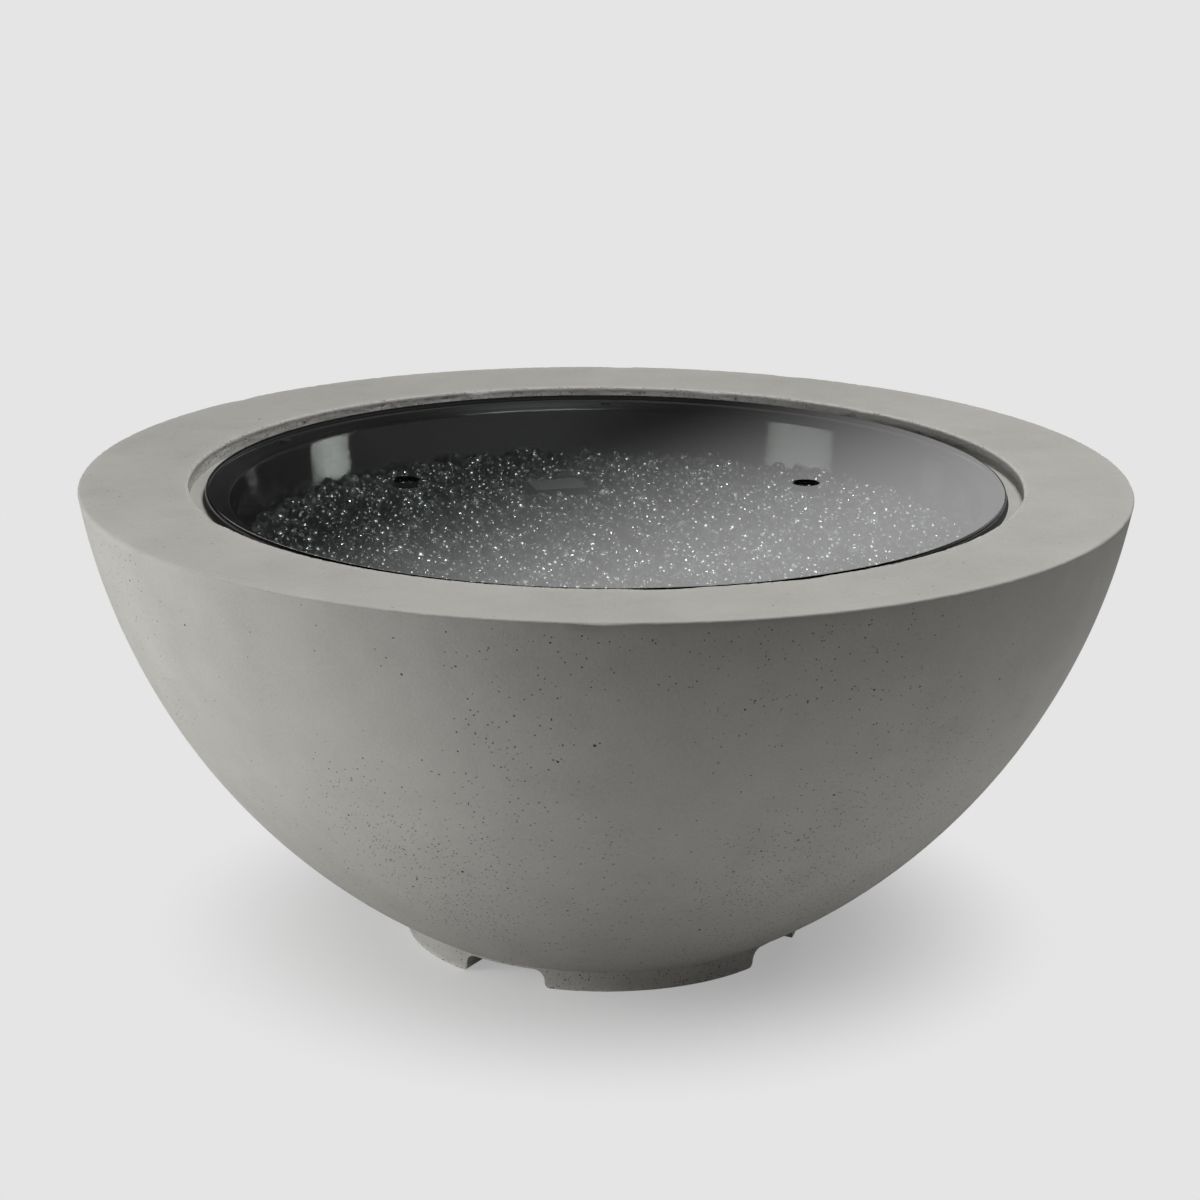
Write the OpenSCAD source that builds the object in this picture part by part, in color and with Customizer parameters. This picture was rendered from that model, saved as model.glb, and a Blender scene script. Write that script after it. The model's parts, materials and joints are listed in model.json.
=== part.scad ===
// Gas fire pit bowl: a cast concrete bowl on a gapped foot ring, with a drop-in stainless burner pan,
// a double ring burner under fire glass, a tinted glass cover, and a control niche at the back.
// Millimetres, Z up, the floor at Z = 0, the bowl's axis on Z, the front at -Y and the back at +Y.

/* [Bowl] */
// Outside diameter of the rim, at its sharp edge before the bevel
rim_d = 1067; // [1000:1:1200]
// Height of the rim above the floor
bowl_h = 480; // [450:1:560]
// Radius of the outside curve, from the rim down to the foot ring
side_curve_r = 650; // [560:1:900]
// Thickness of the cast side wall
wall_t = 28; // [22:1:40]
// Thickness of the cast floor
floor_t = 36; // [25:1:50]
// Thickness of the inner lip at its edge, under the burner pan's flange
lip_t = 30; // [20:1:45]
// Height of the slope under the lip, where it grows into the wall
lip_slope_h = 45; // [30:1:70]
// Bevel of the rim's two edges
rim_bevel = 3; // [1:0.5:6]
// Diameter of the hole in the floor for the gas supply line
service_hole_d = 150; // [100:1:200]

/* [Foot ring] */
// Diameter of the foot ring on the floor
foot_d = 410; // [360:1:460]
// Height of the foot ring
foot_h = 22; // [16:1:35]
// Width of the foot ring, outside to inside
foot_w = 55; // [40:1:70]
// How much the ring's outside leans outwards over its height
foot_draft = 2; // [0.5:0.5:5]
// Number of gaps round the foot ring
foot_gaps = 4; // [3:1:6]
// Width of a gap
foot_gap_w = 91; // [60:1:110]
// Height of a gap
foot_gap_h = 20; // [14:1:22]
// Least height of the ring left above a gap
foot_band = 2; // [1:0.5:5]
// Rounding of a gap's two upper corners
foot_gap_r = 11; // [6:1:14]
// Rounding of a foot's lower corners beside a gap
foot_corner_r = 6; // [3:1:8]

/* [Burner pan] */
// Inside diameter of the pan's mouth
pan_d = 762; // [700:1:800]
// Depth of the pan, from the top of its flange to its floor
pan_depth = 100; // [90:1:120]
// How much the pan's radius narrows from mouth to floor
pan_taper = 9; // [4:1:16]
// Thickness of the pan's steel sheet
pan_t = 2; // [1.5:0.1:3]
// Width of the flange outside the mouth
flange_w = 27; // [22:1:32]
// Radius of the bend from the flange into the wall
pan_bend_r = 6; // [4:0.5:10]
// Radius of the corner from the wall into the floor
pan_corner_r = 10; // [6:1:16]
// Gap between the pan's flange and the wall of the bowl's mouth
mouth_gap = 14.5; // [8:0.5:25]
// Gap between the pan's wall and the lip round it
throat_gap = 5; // [3:0.5:10]
// Number of drain holes in the pan's floor
drain_holes = 8; // [4:1:12]
// Diameter of a drain hole
drain_d = 8; // [5:0.5:12]
// Distance of the drain holes from the pan's corner
drain_inset = 40; // [25:1:60]

/* [Burner] */
// Diameter of the outer ring, at the middle of its tube
outer_ring_d = 470; // [450:1:520]
// Diameter of the inner ring, at the middle of its tube
inner_ring_d = 230; // [180:1:260]
// Outside diameter of the ring tubes
ring_tube_d = 19; // [16:0.5:21]
// Outside diameter of the cross tubes
cross_tube_d = 16; // [12:0.5:18]
// Wall of the burner's tubes
tube_t = 1.5; // [1:0.1:2.5]
// Number of cross tubes from the hub to the outer ring
cross_tubes = 4; // [3:1:4]
// Height of the rings above the pan's floor
ring_lift = 5; // [3:0.5:7]
// Diameter of the hub
hub_d = 40; // [34:1:50]
// How far the hub stands above the tubes
hub_rise = 4; // [2:0.5:7]
// Gas ports round the outer ring
outer_ports = 36; // [24:4:48]
// Gas ports round the inner ring
inner_ports = 20; // [12:4:28]
// Diameter of a gas port
port_d = 3; // [2:0.5:4]
// Width of a clip under the outer ring
clip_w = 14; // [10:1:20]
// Outside diameter of the pipe nipple under the hub
nipple_d = 21; // [17:0.5:24]
// Wall of the pipe nipple
nipple_t = 3; // [2:0.5:4]

/* [Gas train] */
// Length of the air mixer
mixer_len = 52; // [46:1:70]
// Outside diameter of the air mixer
mixer_d = 30; // [28:1:36]
// Diameter of the flare fittings
flare_d = 15.9; // [12:0.1:18]
// Length of a flare fitting
flare_len = 18; // [14:1:24]
// Bore of the fittings
gas_bore_d = 9; // [6:0.5:10]
// Outside diameter of the flexible gas line
flex_d = 16; // [12:0.5:18]

/* [Fire glass] */
// Depth of the bed's top below the pan's flange
bed_drop = 58; // [50:1:64]
// Diameter of a loose gem of the top layer
gem_d = 13; // [9:0.5:16]
// Spread of the loose gems, which lie on a sunflower spiral
gem_spread = 22; // [20:0.5:30]

/* [Igniter hood] */
// Width of the hood
hood_w = 56; // [48:1:64]
// Depth of the hood, front to back
hood_depth = 42; // [36:1:44]
// Distance of the hood's middle from the bowl's axis, towards the back
hood_y = 190; // [175:1:200]
// How far the hood stands above the bed of gems
hood_proud = 18; // [12:1:25]
// Thickness of the hood's sheet
hood_t = 1.5; // [1:0.1:2]
// Width of the tab on each side of the hood
hood_tab_w = 14; // [12:1:18]
// Distance of the electrode from the thermocouple
probe_pitch = 20; // [16:1:26]

/* [Glass cover] */
// Thickness of the glass
glass_t = 6; // [4:0.5:10]
// How far the top of the glass lies below the rim
cover_sink = 5; // [2:0.5:10]
// How far the edge of the glass lies inside the edge of the flange
cover_inset = 2; // [0:0.5:6]
// Diameter of a finger hole
finger_hole_d = 26; // [20:1:32]
// Distance between the two finger holes
finger_hole_pitch = 407; // [300:1:500]
// Turn of the loose cover in the mouth, in degrees
cover_turn = -16; // [-45:1:45]
// Number of bumpers under the glass
bumpers = 6; // [4:1:8]
// Diameter of a bumper
bumper_d = 12; // [8:1:16]
// Height of a bumper
bumper_h = 3; // [2:0.5:5]

/* [Controls] */
// Middle of the control panel below the rim
panel_drop = 150; // [140:1:180]
// Width of the control panel
panel_w = 130; // [124:1:160]
// Height of the control panel
panel_h = 80; // [72:1:90]
// Thickness of the control panel
panel_t = 2; // [1.5:0.1:3]
// Corner radius of the control panel
panel_corner_r = 8; // [5:0.5:11]
// How far the panel's lower edge is sunk into the side of the bowl
panel_recess = 23; // [18:1:30]
// Width of the concrete land that the panel is screwed to
land_w = 12; // [10:0.5:13]
// Thickness of that land
land_t = 25; // [18:1:35]
// Distance between the knob and the igniter button
control_pitch = 64; // [60:1:68]
// Diameter of the knob
knob_d = 40; // [36:1:46]
// Height of the knob
knob_h = 26; // [24:1:32]
// Flutes round the knob
knob_flutes = 14; // [10:1:20]
// How far the knob is pushed in before it turns
knob_travel = 3; // [2:0.5:4]
// Diameter of the valve's barrel
valve_d = 30; // [27:1:34]
// Diameter of the valve's stem
stem_d = 8; // [6:0.5:9]
// Diameter of the valve's bush, which passes through the panel
bush_d = 18; // [16:0.5:20]
// Diameter of the igniter's barrel
igniter_d = 25; // [24:0.5:28]
// Diameter of the igniter's button
button_d = 18; // [16.5:0.5:20]
// How far the button stands out
button_out = 6; // [5:0.5:8]
// How far the button is pressed in
button_travel = 4; // [2:0.5:4.5]

/* [Hidden] */
$fn = 96;
turn_fn = 180;

// Clearances
fit_gap = 0.05;      // radial gap of a fixed round fit
run_gap = 0.06;      // radial gap of a stem or button that moves in its bore
screw_gap = 0.2;     // radial gap of a screw in its hole
bed_gap = 0.3;       // gap between the gems and the steel round them
burner_gap = 1;      // gap between the bed of gems and the burner in it
panel_gap = 1;       // gap between the panel's edge and the niche
push_gap = 0.8;      // gap left behind a part that is pushed right in
thrust_gap = 0.2;    // gap between the stem washer and the knob that turns on it
battery_gap = 0.25;  // gap round the battery
over = 1;            // how far a cut runs past the face that it opens

// Levels, from the rim down
rim_r = rim_d / 2;
pan_r = pan_d / 2;
flange_r = pan_r + flange_w;
mouth_r = flange_r + mouth_gap;
throat_r = pan_r + pan_t + throat_gap;
glass_r = flange_r - cover_inset;
glass_z = bowl_h - cover_sink - glass_t;
flange_z = glass_z - bumper_h;
ledge_z = flange_z - pan_t;
lip_z = ledge_z - lip_t;
pan_floor_z = flange_z - pan_depth;
pan_under_z = pan_floor_z - pan_t;
bed_z = flange_z - bed_drop;
cavity_z = foot_h + floor_t;

// Outside curve of the bowl: one arc from the foot ring's top to the rim
foot_r = foot_d / 2;
foot_top_r = foot_r + foot_draft;
gap_top_z = min(foot_gap_h, foot_h - foot_band);
curve_foot = [foot_top_r, foot_h];
curve_rim = [rim_r, bowl_h];
curve_chord = norm(curve_rim - curve_foot);
curve_way = (curve_rim - curve_foot) / curve_chord;
curve_reach = sqrt(pow(side_curve_r, 2) - pow(curve_chord / 2, 2));
curve_c = (curve_rim + curve_foot) / 2 + curve_reach * [-curve_way.y, curve_way.x];
function side_r(z, t = 0) = curve_c.x + sqrt(pow(side_curve_r - t, 2) - pow(z - curve_c.y, 2));

// Burner pan
pan_foot_r = pan_r - pan_taper;
function pan_in_r(z) = pan_foot_r + pan_taper
    * (z - pan_floor_z - pan_corner_r) / (pan_depth - pan_bend_r - pan_corner_r);
drain_r = pan_foot_r - pan_corner_r - drain_inset;

// Burner
outer_ring_r = outer_ring_d / 2;
inner_ring_r = inner_ring_d / 2;
ring_tube_r = ring_tube_d / 2;
cross_tube_r = cross_tube_d / 2;
ring_z = pan_floor_z + ring_lift + ring_tube_r;
hub_top_z = ring_z + ring_tube_r + hub_rise;
cross_turn = 45;
clip_turn = cross_turn - 90 / cross_tubes;
nipple_r = nipple_d / 2;
nipple_in_hub = 12;
washer_t = 2;
washer_r = nipple_r + 11;
locknut_t = 8;
locknut_af = nipple_d + 11;
mixer_top_z = pan_under_z - washer_t - locknut_t - 2;
mixer_z = mixer_top_z - mixer_len;
mixer_socket = 12;
nipple_z = mixer_top_z - mixer_socket;

// Orifice elbow under the mixer
flare_r = flare_d / 2;
elbow_r = flare_r + 4;
elbow_z = mixer_z - elbow_r - 2;
elbow_stub = 12;
elbow_leg = elbow_r + 10;
orifice_d = 1.8;
flare_af = flare_d + 6;

// Igniter hood, its bracket and its probes
bracket_t = 1.5;
bracket_z = pan_floor_z + bracket_t;
hood_z = bracket_z + hood_t;
hood_top_z = bed_z + hood_proud;
hood_screw_x = hood_w / 2 + hood_tab_w / 2;
hood_tab_depth = 22;
slot_w = probe_pitch + 16;
slot_depth = 16;
insulator_d = 9;
insulator_drop = 20;
insulator_rise = 26;
rod_d = 2.4;
rod_rise = 14;
probe_d = 5.6;
probe_rise = 34;
probe_collar = 4;
screw_d = 3.8;
screw_head_d = 8;
screw_head_t = 2.2;
hood_screw_len = 8;

// Control niche at the back
panel_z = bowl_h - panel_drop;
panel_y = side_r(panel_z - panel_h / 2) - panel_recess;
land_block = 20;
panel_screw_x = panel_w / 2 - land_w / 2;
panel_screw_z = panel_h / 2 - land_w / 2;
panel_screw_len = 16;
knob_x = -control_pitch / 2;
button_x = control_pitch / 2;

// Valve and knob, measured outwards from the panel's back face
bush_out = 8;
bush_end = panel_t + bush_out;
valve_nut_t = 4;
valve_nut_af = bush_d + 6;
stem_washer_t = 1.5;
stem_washer_z = bush_end + knob_travel + push_gap;
knob_ceiling = stem_washer_z + stem_washer_t + thrust_gap;
knob_base = panel_t + knob_travel + push_gap;
knob_top_t = 2.5;
knob_end = knob_base + knob_h;
knob_skirt_r = valve_nut_af / 2 / cos(30) + 1;
stem_end = knob_end - knob_top_t;
stem_flat = stem_d / 2 - 1.2;
stem_back = 20;
skirt_h = 3;
flute_r = 3;
flute_out = 0.2;
set_screw_d = 4;
set_screw_z = (knob_ceiling + stem_end) / 2;
port_boss_d = flare_d + 5;
port_back = land_t + port_boss_d / 2 + 6;
valve_len = port_back + port_boss_d / 2 + 4;
port_boss = 6;
couple_boss_d = 11;
couple_boss = 6;

// Igniter, measured outwards from the panel's back face
igniter_flange_d = igniter_d + 8;
igniter_flange_t = 3;
igniter_face = panel_t + igniter_flange_t;
igniter_nut_t = 6;
igniter_nut_af = igniter_d + 6;
button_in = 12;
button_bore = button_in + button_travel + push_gap;
battery_d = 14.5;
battery_len = 50;
battery_tip_d = 5.5;
battery_tip = 1;
battery_end = igniter_face - button_bore - battery_gap;
igniter_end = battery_end - battery_len - 2 * battery_gap;
igniter_back_t = 3;
terminal_d = 7;
terminal_len = 6;

// Where the gas line and the two leads begin and end
valve_out = [knob_x - valve_d / 2 - port_boss - flare_len, panel_y - port_back, panel_z];
elbow_out = [-elbow_leg - flare_len, 0, elbow_z];
flex_route = [
    valve_out,
    valve_out + [-20, 0, 0],
    valve_out + [-50, -12, -2],
    valve_out + [-72, -50, -8],
    valve_out + [-76, -110, -18],
    valve_out + [-70, -180, -28],
    elbow_out + [-90, 120, 10],
    elbow_out + [-85, 60, 4],
    elbow_out + [-60, 14, 0],
    elbow_out + [-20, 0, 0],
    elbow_out
];
spark_out = [button_x, panel_y + igniter_end - igniter_back_t - terminal_len, panel_z];
electrode_end = [probe_pitch / 2, hood_y, pan_floor_z - insulator_drop];
spark_d = 5;
spark_route = [
    spark_out,
    spark_out + [0, -12, 0],
    spark_out + [0, -40, -8],
    spark_out + [-4, -80, -18],
    electrode_end + [6, 60, -36],
    electrode_end + [2, 22, -36],
    electrode_end + [0, 4, -24],
    electrode_end + [0, 0, -10],
    electrode_end
];
couple_out = [knob_x, panel_y - port_back, panel_z - valve_d / 2 - couple_boss];
couple_end = [-probe_pitch / 2, hood_y, pan_floor_z - insulator_drop];
couple_d = 3;
couple_route = [
    couple_out,
    couple_out + [0, 0, -8],
    couple_out + [0, -8, -20],
    couple_out + [0, -34, -28],
    couple_out + [3, -80, -26],
    couple_end + [-8, 60, -42],
    couple_end + [-2, 18, -40],
    couple_end + [0, 3, -24],
    couple_end + [0, 0, -8],
    couple_end
];

// Shapes and curves that repeat

function arc_points(c, r, from, to, steps = 6) =
    [for (i = [0 : steps]) let (a = from + (to - from) * i / steps) c + r * [cos(a), sin(a)]];

// A point of the smooth curve through four route points, between the middle two
function between(a, b, c, d, t) =
    0.5 * (2 * b + (c - a) * t + (2 * a - 5 * b + 4 * c - d) * t * t + (3 * b - a - 3 * c + d) * t * t * t);

function smooth_route(p, steps) = concat(
    [for (i = [0 : len(p) - 2], s = [0 : steps - 1])
        between(p[max(i - 1, 0)], p[i], p[i + 1], p[min(i + 2, len(p) - 1)], s / steps)],
    [p[len(p) - 1]]
);

function unit(v) = v / norm(v);

// Round tube along a route, square at both ends. side is a direction that the route never takes.
module swept_tube(route, d, side, sides, steps) {
    way = smooth_route(route, steps);
    last = len(way) - 1;
    way_in = route[1] - route[0];
    way_out = route[len(route) - 1] - route[len(route) - 2];
    rings = [for (i = [0 : last]) let (
            t = unit(i == 0 ? way_in : i == last ? way_out : way[i + 1] - way[i - 1]),
            u = unit(cross(t, side)),
            v = cross(u, t)
        ) for (k = [0 : sides - 1]) way[i] + d / 2 * (u * cos(360 * k / sides) + v * sin(360 * k / sides))];
    skin = [for (i = [0 : last - 1], k = [0 : sides - 1]) let (
            a = i * sides + k,
            b = i * sides + (k + 1) % sides
        ) each [[a, b, b + sides], [a, b + sides, a + sides]]];
    start_cap = [for (k = [1 : sides - 2]) [0, k + 1, k]];
    end_cap = [for (k = [1 : sides - 2]) [0, k, k + 1] + [1, 1, 1] * last * sides];
    polyhedron(rings, concat(skin, start_cap, end_cap));
}

module round_rect(w, h, r) {
    square([w - 2 * r, h], center = true);
    square([w, h - 2 * r], center = true);
    for (x = [-1, 1], y = [-1, 1])
        translate([x * (w / 2 - r), y * (h / 2 - r)]) circle(r);
}

module ring_of(count, r, turn = 0) {
    for (k = [0 : count - 1])
        rotate(turn + 360 * k / count) translate([r, 0, 0]) children();
}

module tube(d, bore, h) {
    difference() {
        cylinder(d = d, h = h);
        translate([0, 0, -over]) cylinder(d = bore, h = h + 2 * over);
    }
}

module hex_nut(af, bore, h) {
    difference() {
        cylinder(d = af / cos(30), h = h, $fn = 6);
        translate([0, 0, -over]) cylinder(d = bore, h = h + 2 * over);
    }
}

module screw(length) {
    cylinder(d = screw_head_d, h = screw_head_t);
    translate([0, 0, -length]) cylinder(d = screw_d, h = length + screw_head_t / 2);
}

// Local Z points out of the control panel, from its back face
module out_of_panel(x, up = 0) {
    translate([x, panel_y, panel_z + up]) rotate([-90, 0, 0]) children();
}

module at_hood() {
    translate([0, hood_y, 0]) children();
}

// Concrete bowl

module bowl_side(thickness) {
    translate(curve_c) circle(side_curve_r - thickness, $fn = 2 * turn_fn);
}

module bowl_outline() {
    difference() {
        intersection() {
            bowl_side(0);
            translate([0, foot_h]) square([rim_r + over, bowl_h - foot_h]);
        }
        translate([rim_r, bowl_h]) rotate(45) square(rim_bevel * sqrt(2), center = true);
    }
    inside = foot_r - foot_w;
    polygon([[inside, 0], [foot_r, 0], curve_foot, [inside, foot_h + floor_t / 2]]);
}

module mouth_outline() {
    translate([0, ledge_z]) square([mouth_r, bowl_h - ledge_z + over]);
    translate([mouth_r, bowl_h]) rotate(45) square(rim_bevel * sqrt(2), center = true);
    translate([0, lip_z - over]) square([throat_r, ledge_z - lip_z + 2 * over]);
}

module cavity_outline() {
    slope_z = lip_z - lip_slope_h;
    intersection() {
        bowl_side(wall_t);
        polygon([
            [0, cavity_z], [rim_r, cavity_z], [rim_r, slope_z],
            [side_r(slope_z, wall_t), slope_z], [throat_r, lip_z], [0, lip_z]
        ]);
    }
}

module foot_gap_outline() {
    flat = foot_gap_w - 2 * foot_gap_r;
    translate([-flat / 2, -over]) square([flat, gap_top_z + over]);
    translate([-foot_gap_w / 2, -over]) square([foot_gap_w, gap_top_z - foot_gap_r + over]);
    for (x = [-1, 1])
        translate([x * flat / 2, gap_top_z - foot_gap_r]) circle(foot_gap_r);
    for (x = [-1, 1]) difference() {
        translate([x * (foot_gap_w + foot_corner_r) / 2, foot_corner_r / 2 - over / 2])
            square([foot_corner_r, foot_corner_r + over], center = true);
        translate([x * (foot_gap_w / 2 + foot_corner_r), foot_corner_r]) circle(foot_corner_r);
    }
}

module foot_gap_cuts() {
    start = foot_r - foot_w - foot_gap_w / 2;
    ring_of(foot_gaps, start, 180 / foot_gaps)
        rotate([90, 0, 90]) linear_extrude(foot_top_r + foot_w - start) foot_gap_outline();
}

module niche_cuts() {
    out_of_panel(0) linear_extrude(rim_r)
        round_rect(panel_w + 2 * panel_gap, panel_h + 2 * panel_gap, panel_corner_r + panel_gap);
    out_of_panel(0) translate([0, 0, -land_t - over]) linear_extrude(land_t + 2 * over)
        round_rect(panel_w - 2 * land_w, panel_h - 2 * land_w, panel_corner_r);
    for (x = [-1, 1], z = [-1, 1])
        out_of_panel(x * panel_screw_x, z * panel_screw_z)
            translate([0, 0, panel_t - panel_screw_len - over])
                cylinder(d = screw_d + 2 * screw_gap, h = panel_screw_len + over);
}

module concrete_bowl() {
    color("#bdbab2") difference() {
        rotate_extrude($fn = turn_fn) bowl_outline();
        difference() {
            rotate_extrude($fn = turn_fn) cavity_outline();
            translate([-panel_w / 2 - land_block, panel_y - land_t, panel_z - panel_h / 2 - land_block])
                cube([panel_w + 2 * land_block, rim_r, panel_h + 2 * land_block]);
        }
        rotate_extrude($fn = turn_fn) mouth_outline();
        cylinder(d = service_hole_d, h = cavity_z + over);
        foot_gap_cuts();
        niche_cuts();
    }
}

// Burner pan, burner and gas train

module pan_outline() {
    hole_r = nipple_r + screw_gap;
    bend_c = [pan_r + pan_bend_r, flange_z - pan_bend_r];
    corner_c = [pan_foot_r - pan_corner_r, pan_floor_z + pan_corner_r];
    polygon(concat(
        [[flange_r, flange_z - pan_t], [flange_r, flange_z]],
        arc_points(bend_c, pan_bend_r, 90, 180),
        arc_points(corner_c, pan_corner_r, 0, -90),
        [[hole_r, pan_floor_z], [hole_r, pan_under_z]],
        arc_points(corner_c, pan_corner_r + pan_t, -90, 0),
        arc_points(bend_c, pan_bend_r - pan_t, 180, 90)
    ));
}

module burner_pan() {
    color("#c9cccd") difference() {
        rotate_extrude($fn = turn_fn) pan_outline();
        translate([0, 0, pan_under_z - over]) {
            ring_of(drain_holes, drain_r) cylinder(d = drain_d, h = pan_t + 2 * over);
            at_hood() translate([-slot_w / 2, -slot_depth / 2, 0]) cube([slot_w, slot_depth, pan_t + 2 * over]);
            for (x = [-1, 1])
                translate([x * hood_screw_x, hood_y, 0])
                    cylinder(d = screw_d + 2 * screw_gap, h = pan_t + 2 * over);
        }
    }
}

module ring_tube(r, tube_r) {
    translate([0, 0, ring_z]) rotate_extrude($fn = turn_fn) translate([r, 0]) circle(tube_r);
}

module burner_tubes(wall) {
    ring_tube(outer_ring_r, ring_tube_r - wall);
    ring_tube(inner_ring_r, ring_tube_r - wall);
    for (k = [0 : cross_tubes - 1])
        translate([0, 0, ring_z]) rotate([0, 90, cross_turn + 360 * k / cross_tubes])
            cylinder(r = cross_tube_r - wall, h = outer_ring_r);
}

module ring_ports(count, r) {
    ring_of(count, r, 180 / count) translate([0, 0, ring_z]) rotate([0, 45, 0])
        cylinder(d = port_d, h = ring_tube_d);
}

module burner_manifold() {
    color("#b5b8ba") difference() {
        union() {
            burner_tubes(0);
            translate([0, 0, pan_floor_z]) cylinder(d = hub_d, h = hub_top_z - pan_floor_z);
        }
        burner_tubes(tube_t);
        translate([0, 0, ring_z - cross_tube_r]) cylinder(r = nipple_r - nipple_t, h = cross_tube_d);
        translate([0, 0, pan_floor_z - over]) cylinder(r = nipple_r + fit_gap, h = nipple_in_hub + over);
        translate([0, 0, pan_floor_z]) cylinder(r = nipple_r - nipple_t, h = ring_z - pan_floor_z);
        ring_ports(outer_ports, outer_ring_r);
        ring_ports(inner_ports, inner_ring_r);
    }
}

module ring_clips() {
    clip_d = ring_tube_d - 2;
    clip_h = ring_lift + ring_tube_r / 2;
    color("#a9acae") difference() {
        ring_of(cross_tubes, outer_ring_r, clip_turn)
            translate([-clip_d / 2, -clip_w / 2, pan_floor_z]) cube([clip_d, clip_w, clip_h]);
        ring_tube(outer_ring_r, ring_tube_r + fit_gap);
    }
}

module burner_nipple() {
    top = pan_floor_z + nipple_in_hub;
    color("#8f9296") translate([0, 0, nipple_z]) tube(nipple_d, nipple_d - 2 * nipple_t, top - nipple_z);
}

module pan_washer() {
    color("#c4c7c9") translate([0, 0, pan_under_z - washer_t]) tube(2 * washer_r, nipple_d + 2 * screw_gap, washer_t);
}

module pan_locknut() {
    color("#a3a6a8") translate([0, 0, pan_under_z - washer_t - locknut_t])
        hex_nut(locknut_af, nipple_d + 2 * fit_gap, locknut_t);
}

module air_mixer() {
    window_h = 16;
    window_w = 12;
    waist_d = flare_d + 2 * fit_gap;
    color("#b9a25a") translate([0, 0, mixer_z]) difference() {
        cylinder(d = mixer_d, h = mixer_len);
        translate([0, 0, mixer_len - mixer_socket])
            cylinder(d = nipple_d + 2 * fit_gap, h = mixer_socket + over);
        translate([0, 0, -over]) cylinder(d = waist_d, h = mixer_len);
        translate([-mixer_d, -window_w / 2, elbow_stub + 4]) cube([2 * mixer_d, window_w, window_h]);
    }
}

module orifice_elbow() {
    color("#c9a94a") difference() {
        union() {
            translate([0, 0, elbow_z]) sphere(elbow_r);
            translate([0, 0, elbow_z]) cylinder(d = flare_d, h = mixer_z + elbow_stub - elbow_z);
            translate([0, 0, elbow_z]) cylinder(r = elbow_r, h = mixer_z - elbow_z);
            translate([0, 0, elbow_z]) rotate([0, -90, 0]) cylinder(r = elbow_r, h = elbow_leg);
            translate([0, 0, elbow_z]) rotate([0, -90, 0]) cylinder(d = flare_d, h = elbow_leg + flare_len);
        }
        translate([0, 0, elbow_z]) rotate([0, -90, 0]) cylinder(d = gas_bore_d, h = elbow_leg + flare_len + over);
        translate([0, 0, elbow_z]) sphere(d = gas_bore_d);
        translate([0, 0, elbow_z]) cylinder(d = gas_bore_d, h = mixer_z + elbow_stub - elbow_z - 2);
        translate([0, 0, elbow_z]) cylinder(d = orifice_d, h = mixer_z + elbow_stub - elbow_z + over);
    }
}

module gas_flex_line() {
    color("#d2b64c") swept_tube(flex_route, flex_d, [0, 0, 1], 12, 4);
}

module flare_nuts() {
    color("#c3a044") {
        translate(elbow_out) rotate([0, 90, 0]) hex_nut(flare_af, flare_d + 2 * fit_gap, flare_len);
        translate(valve_out) rotate([0, 90, 0]) hex_nut(flare_af, flare_d + 2 * fit_gap, flare_len);
    }
}

// Controls

module control_panel() {
    color("#3c3d3e") difference() {
        out_of_panel(0) linear_extrude(panel_t) round_rect(panel_w, panel_h, panel_corner_r);
        out_of_panel(knob_x) translate([0, 0, -over]) cylinder(d = bush_d + 2 * screw_gap, h = panel_t + 2 * over);
        out_of_panel(button_x) translate([0, 0, -over])
            cylinder(d = igniter_d + 2 * screw_gap, h = panel_t + 2 * over);
        for (x = [-1, 1], z = [-1, 1])
            out_of_panel(x * panel_screw_x, z * panel_screw_z) translate([0, 0, -over])
                cylinder(d = screw_d + 2 * screw_gap, h = panel_t + 2 * over);
    }
}

module panel_screws() {
    color("#c8cacb") for (x = [-1, 1], z = [-1, 1])
        out_of_panel(x * panel_screw_x, z * panel_screw_z) translate([0, 0, panel_t]) screw(panel_screw_len);
}

// Children point along a port's way out: the outlet to -X, the thermocouple's port down
module at_outlet() {
    translate([knob_x, panel_y - port_back, panel_z]) rotate([0, -90, 0]) children();
}

module at_couple_port() {
    translate([knob_x, panel_y - port_back, panel_z]) rotate([180, 0, 0]) children();
}

module gas_valve_body() {
    barrel_r = valve_d / 2;
    stem_bore = stem_d + 2 * run_gap;
    color("#c2a14a") difference() {
        union() {
            out_of_panel(knob_x) {
                translate([0, 0, -valve_len]) cylinder(d = valve_d, h = valve_len);
                translate([0, 0, -over]) cylinder(d = bush_d, h = bush_end + over);
                translate([0, 0, -valve_len - flare_len]) cylinder(d = flare_d, h = flare_len + over);
            }
            at_outlet() cylinder(d = port_boss_d, h = barrel_r + port_boss);
            at_outlet() cylinder(d = flare_d, h = barrel_r + port_boss + flare_len);
            at_couple_port() cylinder(d = couple_boss_d, h = barrel_r + couple_boss);
        }
        out_of_panel(knob_x) {
            translate([0, 0, -stem_back - knob_travel - push_gap])
                cylinder(d = stem_bore, h = stem_back + knob_travel + push_gap + bush_end + over);
            translate([0, 0, -valve_len - flare_len - over]) cylinder(d = gas_bore_d, h = flare_len + over + 10);
        }
        at_outlet() translate([0, 0, barrel_r - 4]) cylinder(d = gas_bore_d, h = port_boss + flare_len + 4 + over);
    }
}

module valve_locknut() {
    color("#b5b8ba") out_of_panel(knob_x) translate([0, 0, panel_t])
        hex_nut(valve_nut_af, bush_d + 2 * fit_gap, valve_nut_t);
}

// The stem's end has a flat for the set screw. gap widens it into the knob's bore.
module stem_end_shape(gap) {
    difference() {
        cylinder(d = stem_d + 2 * gap, h = stem_end - knob_ceiling + gap);
        translate([stem_flat + gap, -stem_d, -over]) cube([stem_d, 2 * stem_d, stem_end]);
    }
}

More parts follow.
